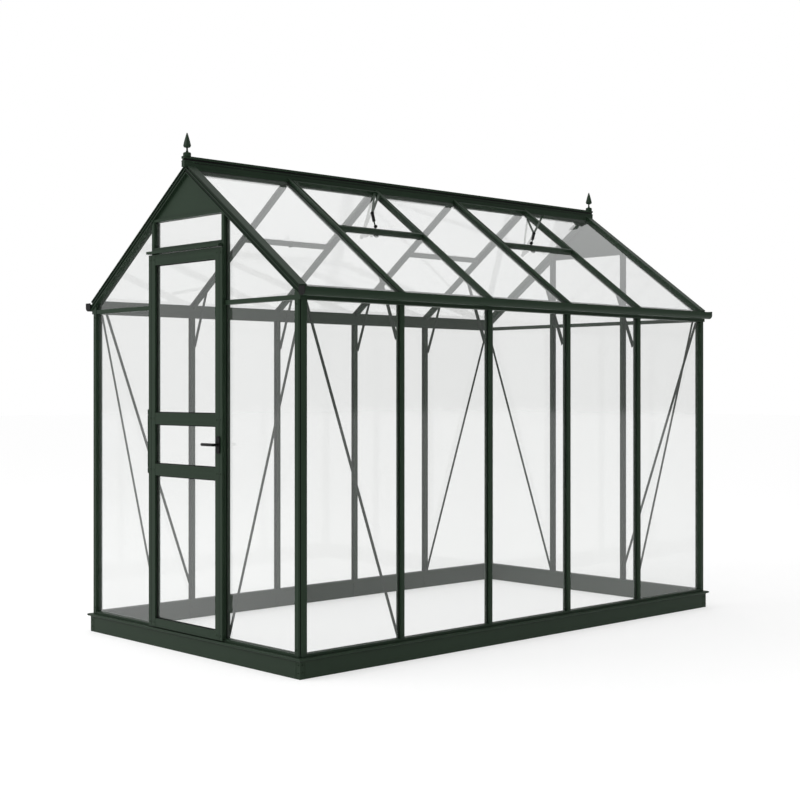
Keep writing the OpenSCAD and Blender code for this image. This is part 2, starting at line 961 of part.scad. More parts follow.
front_base();
back_base();
left_base();
right_base();
front_sill();
back_sill();
left_sill();
right_sill();
front_left_post();
front_right_post();
back_left_post();
back_right_post();
left_wall_bars();
right_wall_bars();
left_door_post();
right_door_post();
back_gable_bars();
front_left_rail();
front_right_rail();
back_rails();
front_apex_rail();
back_apex_rail();
front_apex_panel();
back_apex_panel();
left_eave_beam();
right_eave_beam();
left_gutter();
right_gutter();
gutter_end_caps();
front_gable_rafters();
back_gable_rafters();
left_roof_bars();
right_roof_bars();
ridge_beam();
ridge_cap();
front_finial();
back_finial();
left_vent_sills();
right_vent_sills();
left_vent_frames();
right_vent_frames();
left_roof_sheets();
right_roof_sheets();
left_wall_sheets();
right_wall_sheets();
front_left_sheets();
front_right_sheets();
back_sheets();
door_head_sheet();
door_head();
door_stiles();
door_rails();
door_sheets();
door_hinge_barrel();
post_hinge();
handle_plate();
door_lever();
wind_braces();
knee_struts();
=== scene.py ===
"""Looks of a small greenhouse: coated metal frame, clear sheets, fixings and studio.

Lengths are metres in the frame of the CAD model: Z up, the ridge along Y, the door
gable facing -Y and the ground at z = 0.
"""

import json
import logging
import math
from dataclasses import dataclass, field
from enum import Enum
from typing import Sequence

import bpy
import numpy as np
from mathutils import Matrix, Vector

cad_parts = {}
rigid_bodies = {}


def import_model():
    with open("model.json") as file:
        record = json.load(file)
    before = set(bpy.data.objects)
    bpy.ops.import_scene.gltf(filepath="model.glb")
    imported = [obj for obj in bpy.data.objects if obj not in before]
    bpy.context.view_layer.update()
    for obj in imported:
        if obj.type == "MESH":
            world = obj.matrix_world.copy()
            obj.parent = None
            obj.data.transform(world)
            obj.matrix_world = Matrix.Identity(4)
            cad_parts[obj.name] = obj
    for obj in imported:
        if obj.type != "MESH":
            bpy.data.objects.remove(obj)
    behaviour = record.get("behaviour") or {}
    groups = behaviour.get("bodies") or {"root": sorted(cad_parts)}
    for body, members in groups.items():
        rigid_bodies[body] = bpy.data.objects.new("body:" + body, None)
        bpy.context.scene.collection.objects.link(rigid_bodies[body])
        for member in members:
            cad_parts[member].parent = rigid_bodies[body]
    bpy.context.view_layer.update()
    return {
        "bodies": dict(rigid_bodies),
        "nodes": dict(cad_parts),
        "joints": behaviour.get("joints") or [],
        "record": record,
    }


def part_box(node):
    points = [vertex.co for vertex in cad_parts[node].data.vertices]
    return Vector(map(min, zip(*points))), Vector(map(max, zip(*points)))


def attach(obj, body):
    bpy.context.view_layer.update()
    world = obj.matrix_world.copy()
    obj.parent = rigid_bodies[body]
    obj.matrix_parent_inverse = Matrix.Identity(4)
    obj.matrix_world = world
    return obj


LOG = logging.getLogger("greenhouse")
Array = np.ndarray


class Body(Enum):
    """Bodies of the frame that a piece can ride on."""

    FRAME = "frame"
    DOOR = "door"
    LEVER = "lever"


class Slot(Enum):
    """Material slots named by the record."""

    GREEN = "green_aluminium"
    STEEL = "green_steel"
    BRACE = "brace_aluminium"
    HINGE = "hinge_metal"
    PLASTIC = "black_plastic"
    SHEET = "clear_polycarbonate"


# ---------------------------------------------------------------- mesh building


@dataclass
class MeshBuffer:
    """Vertices and faces gathered from many shapes, made into one object.

    Attributes:
        points: Arrays of vertices, each shaped (n, 3).
        faces: Arrays of vertex numbers, each shaped (m, corners).
    """

    points: list[Array] = field(default_factory=list)
    faces: list[Array] = field(default_factory=list)
    count: int = 0

    def add(self, points: Array, faces: Array) -> None:
        """Adds one shape.

        Args:
            points: Vertices shaped (n, 3).
            faces: Vertex numbers in this shape, shaped (m, corners).
        """
        self.points.append(points.reshape(-1, 3))
        self.faces.append(faces + self.count)
        self.count += self.points[-1].shape[0]

    def grid(self, points: Array, close: bool = True, caps: bool = False) -> None:
        """Adds quads over a grid of points, point (i, j) to (i+1, j+1).

        Args:
            points: Grid shaped (rows, columns, 3).
            close: Whether the last column joins the first.
            caps: Whether the first and last rows are filled.
        """
        rows, cols = points.shape[:2]
        index = np.arange(rows * cols).reshape(rows, cols)
        side = np.roll(index, -1, axis=1) if close else index[:, 1:]
        base = index if close else index[:, :-1]
        quads = np.stack([base[:-1], side[:-1], side[1:], base[1:]], axis=-1)
        self.add(points, quads.reshape(-1, 4))
        if caps:
            self.add(points[0], np.arange(cols)[::-1][None])
            self.add(points[-1], np.arange(cols)[None])

    def copies(self, points: Array, faces: Array, places: Array, axes: Array) -> None:
        """Adds a shape many times, vertex p of copy k at places[k] + p @ axes[k].

        Args:
            points: Vertices of the shape, (n, 3).
            faces: Its faces, (m, corners).
            places: Origins of the copies, (k, 3).
            axes: Rows are the copies' own X, Y and Z axes, (k, 3, 3).
        """
        moved = places[:, None] + np.einsum("ni,kij->knj", points, axes)
        step = np.arange(len(places))[:, None, None] * len(points)
        self.add(moved, (faces[None] + step).reshape(-1, faces.shape[1]))

    def boxes(self, low: Array, high: Array) -> None:
        """Adds boxes between pairs of corners, corner c of box k at low + c * (high - low).

        Args:
            low: Lowest corners, (k, 3).
            high: Highest corners, (k, 3).
        """
        corner = np.indices((2, 2, 2)).reshape(3, 8).T
        quads = np.array(
            [[0, 1, 3, 2], [4, 6, 7, 5], [0, 4, 5, 1], [2, 3, 7, 6], [0, 2, 6, 4], [1, 5, 7, 3]]
        )
        low, high = np.atleast_2d(low), np.atleast_2d(high)
        points = low[:, None] + corner[None] * (high - low)[:, None]
        step = np.arange(len(low))[:, None, None] * 8
        self.add(points, (quads[None] + step).reshape(-1, 4))

    def build(self, name: str, smooth: bool = False) -> bpy.types.Object:
        """Makes the object at the origin.

        Args:
            name: Name of the object.
            smooth: Whether its faces are shaded smooth.

        Returns:
            The new object, linked to the scene.
        """
        mesh = bpy.data.meshes.new(name)
        faces = [row for block in self.faces for row in block.tolist()]
        mesh.from_pydata(np.concatenate(self.points).tolist(), [], faces)
        mesh.validate()
        mesh.polygons.foreach_set("use_smooth", np.full(len(mesh.polygons), smooth))
        obj = bpy.data.objects.new(name, mesh)
        bpy.context.scene.collection.objects.link(obj)
        return obj


def revolved(profile: Array, sides: int = 20) -> tuple[Array, Array]:
    """Turns a profile about Z: point (i, j) is (r_i cos a_j, r_i sin a_j, z_i), a_j = 2 pi j / sides.

    Args:
        profile: Radius and height of each ring, (n, 2).
        sides: Points round each ring.

    Returns:
        Vertices and quads.
    """
    angle = np.linspace(0, 2 * math.pi, sides, endpoint=False)
    ring = np.stack([np.cos(angle), np.sin(angle), np.zeros(sides)], axis=-1)
    points = profile[:, :1, None] * ring[None]
    points[..., 2] = profile[:, 1:2]
    rows = len(profile)
    index = np.arange(rows * sides).reshape(rows, sides)
    side = np.roll(index, -1, axis=1)
    quads = np.stack([index[:-1], side[:-1], side[1:], index[1:]], axis=-1)
    return points.reshape(-1, 3), quads.reshape(-1, 4)


def facing(normals: Array) -> Array:
    """Axes whose Z is each given direction, X taken square to it and to the world's Z or Y.

    Args:
        normals: Directions, (k, 3).

    Returns:
        Rows X, Y, Z of each frame, (k, 3, 3).
    """
    z = normals / np.linalg.norm(normals, axis=1, keepdims=True)
    upright = np.abs(z[:, 2:3]) > 0.9
    guide = np.where(upright, np.array([0.0, 1.0, 0.0]), np.array([0.0, 0.0, 1.0]))
    x = np.cross(guide, z)
    x /= np.linalg.norm(x, axis=1, keepdims=True)
    return np.stack([x, np.cross(z, x), z], axis=1)


def swept(section: Array, path: Array) -> Array:
    """Carries a section along a path, point (i, j) = path_i + u_j * side_i + v_j * up_i.

    Args:
        section: Points u, v of the closed section, (m, 2).
        path: Points of the path, (n, 3).

    Returns:
        Grid shaped (n, m, 3).
    """
    tangent = np.gradient(path, axis=0)
    tangent /= np.linalg.norm(tangent, axis=1, keepdims=True)
    frames = facing(tangent)
    return path[:, None] + np.einsum("mi,nij->nmj", section, frames[:, :2])


def bar_between(start: Array, end: Array, wide: float, thick: float) -> Array:
    """Flat bar from start to end.

    Args:
        start: First point, (3,).
        end: Last point, (3,).
        wide: Size across, along the bar's own X.
        thick: Size along the bar's own Y.

    Returns:
        Grid of two rows shaped (2, 4, 3).
    """
    corner = np.array([[-1, -1], [1, -1], [1, 1], [-1, 1]]) * np.array([wide, thick]) / 2
    return swept(corner, np.stack([start, end]))


# -------------------------------------------------------------------- materials


def shader(name: str) -> tuple[bpy.types.Material, bpy.types.NodeTree]:
    """A material with an empty node tree.

    Args:
        name: Name of the material.

    Returns:
        The material and its node tree.
    """
    material = bpy.data.materials.new(name)
    material.use_nodes = True
    material.node_tree.nodes.clear()
    return material, material.node_tree


@dataclass(frozen=True)
class Coat:
    """Powder coat or plastic: a plain colour, slightly uneven in tone, gloss and level.

    Attributes:
        name: Name of the material.
        colour: Linear base colour.
        rough: Roughness in the middle of its range.
        grain: Size of the texture's grains for each metre.
        bump: Height of the grains in metres.
        shine: Specular level.
    """

    name: str
    colour: tuple[float, float, float]
    rough: float = 0.42
    grain: float = 900.0
    bump: float = 0.00012
    shine: float = 0.13

    def material(self) -> bpy.types.Material:
        """Builds the material.

        Returns:
            A node material that reads Object coordinates.
        """
        material, tree = shader(self.name)
        nodes, links = tree.nodes, tree.links
        out = nodes.new("ShaderNodeOutputMaterial")
        body = nodes.new("ShaderNodeBsdfPrincipled")
        place = nodes.new("ShaderNodeTexCoord")
        cloud = nodes.new("ShaderNodeTexNoise")
        fine = nodes.new("ShaderNodeTexNoise")
        tone = nodes.new("ShaderNodeMix")
        gloss = nodes.new("ShaderNodeMapRange")
        bump = nodes.new("ShaderNodeBump")
        cloud.inputs["Scale"].default_value = 6.0
        cloud.inputs["Detail"].default_value = 3.0
        fine.inputs["Scale"].default_value = self.grain
        fine.inputs["Detail"].default_value = 2.0
        tone.data_type = "RGBA"
        colour = np.array(self.colour)
        tone.inputs["A"].default_value = (*(colour * 0.86), 1.0)
        tone.inputs["B"].default_value = (*(colour * 1.14), 1.0)
        gloss.inputs["To Min"].default_value = self.rough - 0.06
        gloss.inputs["To Max"].default_value = self.rough + 0.06
        bump.inputs["Distance"].default_value = self.bump
        bump.inputs["Strength"].default_value = 0.5
        body.inputs["Specular IOR Level"].default_value = self.shine
        links.new(place.outputs["Object"], cloud.inputs["Vector"])
        links.new(place.outputs["Object"], fine.inputs["Vector"])
        links.new(cloud.outputs["Fac"], tone.inputs["Factor"])
        links.new(cloud.outputs["Fac"], gloss.inputs["Value"])
        links.new(tone.outputs["Result"], body.inputs["Base Color"])
        links.new(gloss.outputs["Result"], body.inputs["Roughness"])
        links.new(fine.outputs["Fac"], bump.inputs["Height"])
        links.new(bump.outputs["Normal"], body.inputs["Normal"])
        links.new(body.outputs["BSDF"], out.inputs["Surface"])
        return material


@dataclass(frozen=True)
class Glazing:
    """Clear sheet: light passes through, a part is mirrored, the more so at a low angle.

    The mirrored share of an outward face is base + (1 - base) * (1 - cos a) ** power for
    an angle a from square on.

    Attributes:
        name: Name of the material.
        tint: Share of each colour that one face lets through.
        base: Mirrored share seen square on.
        power: How late the mirrored share rises towards a low angle.
        haze: Share that one face scatters.
        rough: Roughness of the mirrored light.
    """

    name: str
    tint: tuple[float, float, float]
    base: float
    power: float
    haze: float
    rough: float = 0.05

    def material(self) -> bpy.types.Material:
        """Builds the material.

        Returns:
            A node material whose faint unevenness reads Object coordinates.
        """
        material, tree = shader(self.name)
        nodes, links = tree.nodes, tree.links
        out = nodes.new("ShaderNodeOutputMaterial")
        clear = nodes.new("ShaderNodeBsdfTransparent")
        mirror = nodes.new("ShaderNodeBsdfGlossy")
        milk = nodes.new("ShaderNodeBsdfDiffuse")
        angle = nodes.new("ShaderNodeLayerWeight")
        shape = nodes.new("ShaderNodeNewGeometry")
        rise = nodes.new("ShaderNodeMath")
        share = nodes.new("ShaderNodeMapRange")
        outward = nodes.new("ShaderNodeMath")
        only = nodes.new("ShaderNodeMath")
        mirrored = nodes.new("ShaderNodeMixShader")
        hazed = nodes.new("ShaderNodeMixShader")
        place = nodes.new("ShaderNodeTexCoord")
        wave = nodes.new("ShaderNodeTexNoise")
        bump = nodes.new("ShaderNodeBump")
        clear.inputs["Color"].default_value = (*self.tint, 1.0)
        mirror.inputs["Roughness"].default_value = self.rough
        mirror.inputs["Color"].default_value = (0.96, 0.97, 0.97, 1.0)
        milk.inputs["Color"].default_value = (0.9, 0.91, 0.9, 1.0)
        angle.inputs["Blend"].default_value = 0.5
        rise.operation = "POWER"
        rise.inputs[1].default_value = self.power
        share.inputs["To Min"].default_value = self.base
        outward.operation = "SUBTRACT"
        outward.inputs[0].default_value = 1.0
        only.operation = "MULTIPLY"
        hazed.inputs["Fac"].default_value = self.haze
        wave.inputs["Scale"].default_value = 3.0
        bump.inputs["Distance"].default_value = 0.002
        bump.inputs["Strength"].default_value = 0.25
        links.new(place.outputs["Object"], wave.inputs["Vector"])
        links.new(wave.outputs["Fac"], bump.inputs["Height"])
        links.new(bump.outputs["Normal"], mirror.inputs["Normal"])
        links.new(angle.outputs["Facing"], rise.inputs[0])
        links.new(rise.outputs["Value"], share.inputs["Value"])
        links.new(shape.outputs["Backfacing"], outward.inputs[1])
        links.new(share.outputs["Result"], only.inputs[0])
        links.new(outward.outputs["Value"], only.inputs[1])
        links.new(only.outputs["Value"], mirrored.inputs["Fac"])
        links.new(clear.outputs["BSDF"], mirrored.inputs[1])
        links.new(mirror.outputs["BSDF"], mirrored.inputs[2])
        links.new(mirrored.outputs["Shader"], hazed.inputs[1])
        links.new(milk.outputs["BSDF"], hazed.inputs[2])
        links.new(hazed.outputs["Shader"], out.inputs["Surface"])
        return material


@dataclass
class Palette:
    """The finishes of the object, one for each slot.

    Attributes:
        finishes: Finish of each slot.
        made: Materials built from them.
    """

    finishes: dict[Slot, Coat | Glazing]
    made: dict[Slot, bpy.types.Material] = field(default_factory=dict)

    def __post_init__(self) -> None:
        """Builds every material."""
        self.made = {slot: finish.material() for slot, finish in self.finishes.items()}

    def dress_cad(self, frame: dict) -> None:
        """Gives each CAD node the material of its slot.
        """
        slots = {part["node"]: Slot(part["material_slot"]) for part in frame["record"]["subparts"]}
        for name, obj in frame["nodes"].items():
            obj.data.materials.clear()
            obj.data.materials.append(self.made[slots[name]])

    def place(self, obj: bpy.types.Object, slot: Slot, body: Body = Body.FRAME) -> None:
        """Finishes a visual piece and lets it ride on a body.

        Args:
            obj: The piece, in place.
            slot: Its material slot.
            body: The body that carries it.
        """
        obj.data.materials.append(self.made[slot])
        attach(obj, body.value)
        LOG.info("%s: %d faces on %s", obj.name, len(obj.data.polygons), body.value)


GREEN = (0.0150, 0.0300, 0.0165)
PALETTE: dict[Slot, Coat | Glazing] = {
    Slot.GREEN: Coat("green_coat", GREEN),
    Slot.STEEL: Coat("green_steel_coat", (0.0165, 0.0310, 0.0175), rough=0.46),
    Slot.BRACE: Coat("brace_coat", (0.0140, 0.0230, 0.0150), rough=0.42),
    Slot.HINGE: Coat("hinge_coat", (0.0130, 0.0250, 0.0150), rough=0.36),
    # Black coat for real plastic parts and seals, also used for dark strips that paint shade in
    # grooves and under the plinth lip.
    Slot.PLASTIC: Coat("black_plastic", (0.005, 0.005, 0.005), rough=0.38, grain=1500.0),
    Slot.SHEET: Glazing("polycarbonate", (0.966, 0.968, 0.966), 0.040, 2.9, haze=0.018),
}


# -------------------------------------------------------------------- placement


def span(node: str) -> tuple[Array, Array]:
    """Lowest and highest corner of a CAD node.

    Args:
        node: Name of the node.

    Returns:
        Two arrays of three.
    """
    low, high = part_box(node)
    return np.array(low), np.array(high)


@dataclass(frozen=True)
class Outline:
    """Main planes of the frame, read from the CAD nodes.

    Attributes:
        half_wide: Distance of the long walls' outer face from the middle.
        half_long: Distance of the gables' outer face from the middle.
        pitch: Slope of the roof in radians.
        apex: Height where the two roof planes meet.
        bars: Positions along Y of the glazing bars.
        beam: Underside of the eave beams.
        sill: Top of the bottom rails.
    """

    half_wide: float
    half_long: float
    pitch: float
    apex: float
    bars: Array
    beam: float
    sill: float

    @classmethod
    def read(cls) -> "Outline":
        """Measures the CAD nodes.

        Returns:
            The outline.
        """
        post_high = span("front_right_post")[1]
        gable_low, gable_high = span("front_gable_rafters")
        beam = span("right_eave_beam")[0][2]
        half_wide = gable_high[0]
        bars_low, bars_high = span("right_wall_bars")
        bars = np.linspace(bars_low[1] + 0.012, bars_high[1] - 0.012, 4)
        mesh = bpy.data.objects["front_gable_rafters"].data
        points = np.array([v.co for v in mesh.vertices])
        eave = points[points[:, 0] > half_wide - 1e-4][:, 2].max()
        return cls(
            half_wide=half_wide,
            half_long=-gable_low[1],
            pitch=math.atan((gable_high[2] - eave) / half_wide),
            apex=gable_high[2],
            bars=bars,
            beam=beam,
            sill=bars_low[2],
        )

    def on_roof(self, run: Array, along: Array, lift: Array, side: int = 1) -> Array:
        """Points given on a slope: run across the level, along Y, lift square to the slope.

        Args:
            run: Distance from the middle.
            along: Position along Y.
            lift: Height over the roof's outer face.
            side: 1 for the right slope, -1 for the left.

        Returns:
            Points, shape of the inputs with a last axis of three.
        """
        run, along, lift = np.broadcast_arrays(run, along, lift)
        x = run + lift * math.sin(self.pitch)
        z = self.apex - run * math.tan(self.pitch) + lift * math.cos(self.pitch)
        return np.stack([side * x, along, z], axis=-1)

    def slope_normal(self, side: int = 1) -> Array:
        """Outward direction of a slope.

        Args:
            side: 1 for the right slope, -1 for the left.

        Returns:
            Direction, (3,).
        """
        return np.array([side * math.sin(self.pitch), 0.0, math.cos(self.pitch)])


# ----------------------------------------------------------------- sub-assemblies


@dataclass
class Fixings:
    """Screws and bolts with domed heads over thin washers.

    Attributes:
        radius: Radius of a head.
        height: Height of a head.
        sides: Points round a head.
    """

    radius: float = 0.0042
    height: float = 0.0026
    sides: int = 14

    def shape(self) -> tuple[Array, Array]:
        """Head with a dished middle; ring i of the dome has radius cos(t_i), height sin(t_i).

        Returns:
            Vertices and quads.
        """
        t = np.linspace(0, 1.15, 5)
        dome = np.stack([np.cos(t) * self.radius, 0.0006 + np.sin(t) * self.height], axis=-1)
        washer = np.array([[self.radius * 1.5, 0.0], [self.radius * 1.5, 0.0006]])
        dish = np.array([[self.radius * 0.3, self.height * 0.5], [0.0, self.height * 0.5]])
        return revolved(np.concatenate([washer, dome, dish]), self.sides)

    def build(self, name: str, places: Array, normals: Array) -> bpy.types.Object:
        """One object of many heads.

        Args:
            name: Name of the object.
            places: Points on the surfaces, (k, 3).
            normals: Outward directions, (k, 3).

        Returns:
            The object.
        """
        buffer = MeshBuffer()
        points, faces = self.shape()
        buffer.copies(points, faces, places, facing(normals))
        return buffer.build(name, smooth=True)


def both_sides(points: Array) -> Array:
    """The points and their mirror images across X = 0.

    Args:
        points: Points or directions, (k, 3).

    Returns:
        Twice as many, (2k, 3).
    """
    return np.concatenate([points, points * np.array([-1.0, 1.0, 1.0])])


def both_ends(points: Array) -> Array:
    """The points and their mirror images across Y = 0.

    Args:
        points: Points or directions, (k, 3).

    Returns:
        Twice as many, (2k, 3).
    """
    return np.concatenate([points, points * np.array([1.0, -1.0, 1.0])])


@dataclass
class Gables:
    """Ribs along the gable rafters, dark strips of painted shade between them and fixings of the
    gables.
    """

    outline: Outline
    palette: Palette
    ribs: tuple[float, ...] = (0.0, 0.017, 0.0345)
    # The depths in lines and the last thickness below place dark strips of painted shade in the
    # grooves between the ribs.
    lines: tuple[float, ...] = (0.0075, 0.0265)
    rib_t: float = 0.006
    rib_w: float = 0.0045
    shade_line_t: float = 0.0006

    def slope_strips(self, depths: tuple[float, ...], thick: float) -> MeshBuffer:
        """Strips on the outer faces of both gables, parallel to the roof.

        Corner (k, c) of a strip lies at z = apex - run_k * tan(pitch) - (depth + c) / cos(pitch).

        Args:
            depths: Distances of the strips under the roof's outer face.
            thick: Distance that they stand out.

        Returns:
            Their mesh.
        """
        o = self.outline
        run = np.array([0.0, o.half_wide])
        buffer = MeshBuffer()
        depth = np.array(depths) / math.cos(o.pitch)
        wide = self.rib_w / math.cos(o.pitch)
        top = o.apex - run[None] * math.tan(o.pitch) - depth[:, None]
        drop = np.array([0, 0, wide, wide])
        for side, end in ((1, 1), (1, -1), (-1, 1), (-1, -1)):
            y = -end * (o.half_long + np.array([0, thick, thick, 0]))
            for level in top:
                ends = [np.stack([np.full(4, side * run[k]), y, level[k] - drop], -1) for k in (0, 1)]
                buffer.grid(np.stack(ends), caps=True)
        return buffer

    def rafter_ribs(self) -> None:
        """Raised lines along the rafters and dark strips between them that paint the shade in their
        grooves.
        """
        ribs = self.slope_strips(self.ribs, self.rib_t)
        self.palette.place(ribs.build("gable_rafter_ribs"), Slot.GREEN)
        lines = self.slope_strips(self.lines, self.shade_line_t)
        self.palette.place(lines.build("gable_rafter_painted_shade"), Slot.PLASTIC)

    def screws(self) -> None:
        """Heads along the rafters, at the cross rails and on the plinth sides."""
        o = self.outline
        run = np.array([0.16, 0.40, 0.64, 0.84])
        z = o.apex - run * math.tan(o.pitch) - 0.024
        y = np.full(len(run), -o.half_long)
        rafters = np.stack([run, y, z], axis=-1)
        x = o.half_wide - 0.028
        posts = np.array([[x, -o.half_long, o.beam - 0.02], [x, -o.half_long, o.sill + 0.02]])
        places = both_ends(both_sides(np.concatenate([rafters, posts])))
        outward = np.zeros_like(places)
        outward[:, 1] = np.sign(places[:, 1])
        self.palette.place(Fixings().build("gable_screws", places, outward), Slot.GREEN)

    def build(self) -> None:
        """Builds the whole sub-assembly."""
        self.rafter_ribs()
        self.screws()


@dataclass
class Plinth:
    """Joint covers, cleats, screws and a painted shadow line under the lip of the plinth."""

    outline: Outline
    palette: Palette
    corner: float = 0.030

    def seams(self) -> None:
        """A thin upright cover strip beside each corner, on both faces that meet there."""
        low, high = span("right_base")
        gable = span("front_base")
        face_x, face_y = self.outline.half_wide + 0.005, self.outline.half_long + 0.005
        height = high[2] - 0.013
        t = 0.0012
        x0, y0 = face_x - self.corner, face_y - self.corner
        sides = np.array([[face_x, -y0 - 0.0015, 0.001], [face_x + t, -y0 + 0.0015, height]])
        fronts = np.array([[x0 - 0.0015, -face_y - t, 0.001], [x0 + 0.0015, -face_y, height]])
        buffer = MeshBuffer()
        for pair in (sides, fronts):
            corners = both_ends(both_sides(pair)).reshape(4, 2, 3)
            buffer.boxes(corners.min(axis=1), corners.max(axis=1))
        LOG.info("plinth faces at %.3f and %.3f, gable %.3f", face_x, face_y, gable[1][2])
        self.palette.place(buffer.build("plinth_seams"), Slot.STEEL)

    def screws(self) -> None:
        """Two heads beside each corner, on both faces that meet there."""
        o = self.outline
        z = np.array([0.028, 0.062])
        side = np.stack([np.full(2, o.half_wide + 0.005), np.full(2, -o.half_long + 0.010), z], -1)
        gable = np.stack([np.full(2, o.half_wide - 0.010), np.full(2, -o.half_long - 0.005), z], -1)
        across = np.tile([1.0, 0.0, 0.0], (2, 1))
        ahead = np.tile([0.0, -1.0, 0.0], (2, 1))
        places = both_ends(both_sides(np.concatenate([side, gable])))
        normals = both_ends(both_sides(np.concatenate([across, ahead])))
        self.palette.place(Fixings().build("plinth_screws", places, normals), Slot.STEEL)

    def lip_painted_shadow(self) -> None:
        """Dark line of painted shadow under the drip lip, all round."""
        _, high = span("right_base")
        x, y = self.outline.half_wide + 0.005, self.outline.half_long + 0.005
        z = np.array([high[2] - 0.0155, high[2] - 0.0125])
        t = 0.0012
        side = np.array([[x, -y - t, z[0]], [x + t, y + t, z[1]]])
        gable = np.array([[-x - t, -y - t, z[0]], [x + t, -y, z[1]]])
        buffer = MeshBuffer()
        for pair in (side, gable, -side, -gable):
            box = np.stack([pair.min(axis=0), pair.max(axis=0)])
            box[:, 2] = z
            buffer.boxes(box[0], box[1])
        self.palette.place(buffer.build("plinth_lip_painted_shadow"), Slot.PLASTIC)

    def joints(self) -> None:
        """Cleats inside the long plinth sides, one under each bar, with two heads each."""
        o = self.outline
        inner = o.half_wide + 0.005 - 0.026
        count = len(o.bars)
        low = np.stack([np.full(count, inner - 0.002), o.bars - 0.012, np.full(count, 0.004)], -1)
        high = np.stack([np.full(count, inner), o.bars + 0.012, np.full(count, 0.091)], -1)
        pairs = both_sides(np.stack([low, high], axis=1).reshape(-1, 3)).reshape(-1, 2, 3)
        buffer = MeshBuffer()
        buffer.boxes(pairs.min(axis=1), pairs.max(axis=1))
        self.palette.place(buffer.build("plinth_cleats"), Slot.GREEN)
        y, z = np.meshgrid(o.bars, np.array([0.028, 0.066]), indexing="ij")
        heads = both_sides(np.stack([np.full(y.size, inner - 0.002), y.ravel(), z.ravel()], -1))
        inward = np.zeros_like(heads)
        inward[:, 0] = -np.sign(heads[:, 0])
        self.palette.place(Fixings().build("plinth_cleat_screws", heads, inward), Slot.GREEN)

    def build(self) -> None:
        """Builds the whole sub-assembly."""
        self.seams()
        self.screws()
        self.lip_painted_shadow()
        self.joints()


@dataclass
class RoofVents:
    """Stays with their pivots, and latches of the roof vents."""

    outline: Outline
    palette: Palette
    run: float = 0.395

    def stays(self) -> None:
        """Stays of the right slope: thin arms from the ridge down to the vents' cross bars."""
        o = self.outline
        bay_y = (o.bars[0] + o.bars[1]) / 2, (o.bars[2] + o.bars[3]) / 2
        foot_z = o.apex - self.run * math.tan(o.pitch) + 0.001
        buffer = MeshBuffer()
        front, rear = bay_y
        feet = np.array([[self.run, front - 0.039, foot_z], [self.run, rear - 0.060, foot_z]])
        knees = feet + np.array([[-0.020, -0.005, 0.082], [0.000, 0.022, 0.068]])
        heads = np.array([
            [0.022, front + 0.292, 2.412],
            [0.030, front + 0.322, 2.412],
            [0.022, rear + 0.312, 2.385],
            [0.022, rear + 0.470, 2.402],
        ])
        for head, knee in zip(heads, knees[[0, 0, 1, 1]]):
            buffer.grid(bar_between(head, knee, 0.012, 0.003), caps=True)
        for knee, foot in zip(knees, feet):
            buffer.grid(bar_between(knee, foot, 0.006, 0.004), caps=True)
        self.palette.place(buffer.build("vent_stays"), Slot.GREEN)
        pivots = MeshBuffer()
        profile = np.array([[0, -0.009], [0.008, -0.009], [0.009, -0.006], [0.009, 0.006],
                            [0.008, 0.009], [0, 0.009]])
        points, faces = revolved(profile, 16)
        places = np.concatenate([knees, feet + np.array([0.0, 0.0, 0.010])])
        normals = np.tile([1.0, -0.6, 0.0], (len(places), 1))
        pivots.copies(points, faces, places, facing(normals))
        for knee, foot in zip(knees, feet):
            pivots.grid(bar_between(knee, knee * 0.45 + foot * 0.55, 0.014, 0.010), caps=True)
        self.palette.place(pivots.build("vent_stay_pivots", smooth=False), Slot.PLASTIC)

    def latches(self) -> None:
        """Round catches in the middle of every vent's cross bar, on the inside."""
        o = self.outline
        along = np.array([(o.bars[0] + o.bars[1]) / 2, (o.bars[2] + o.bars[3]) / 2])
        low = -0.033
        right = o.on_roof(np.array(self.run - 0.012), along, np.array(low))
        places = both_sides(right)
        normals = np.concatenate([np.tile(-o.slope_normal(side), (2, 1)) for side in (1, -1)])
        t = np.linspace(0, math.pi / 2, 6)
        profile = np.stack([0.016 * np.cos(t), 0.012 + 0.012 * np.sin(t)], axis=-1)
        stem = np.array([[0.008, -0.003], [0.008, 0.010]])
        points, faces = revolved(np.concatenate([stem, profile]), 20)
        buffer = MeshBuffer()
        buffer.copies(points, faces, places, facing(normals))
        self.palette.place(buffer.build("vent_latches", smooth=True), Slot.GREEN)

    def build(self) -> None:
        """Builds the whole sub-assembly."""
        self.stays()
        self.latches()


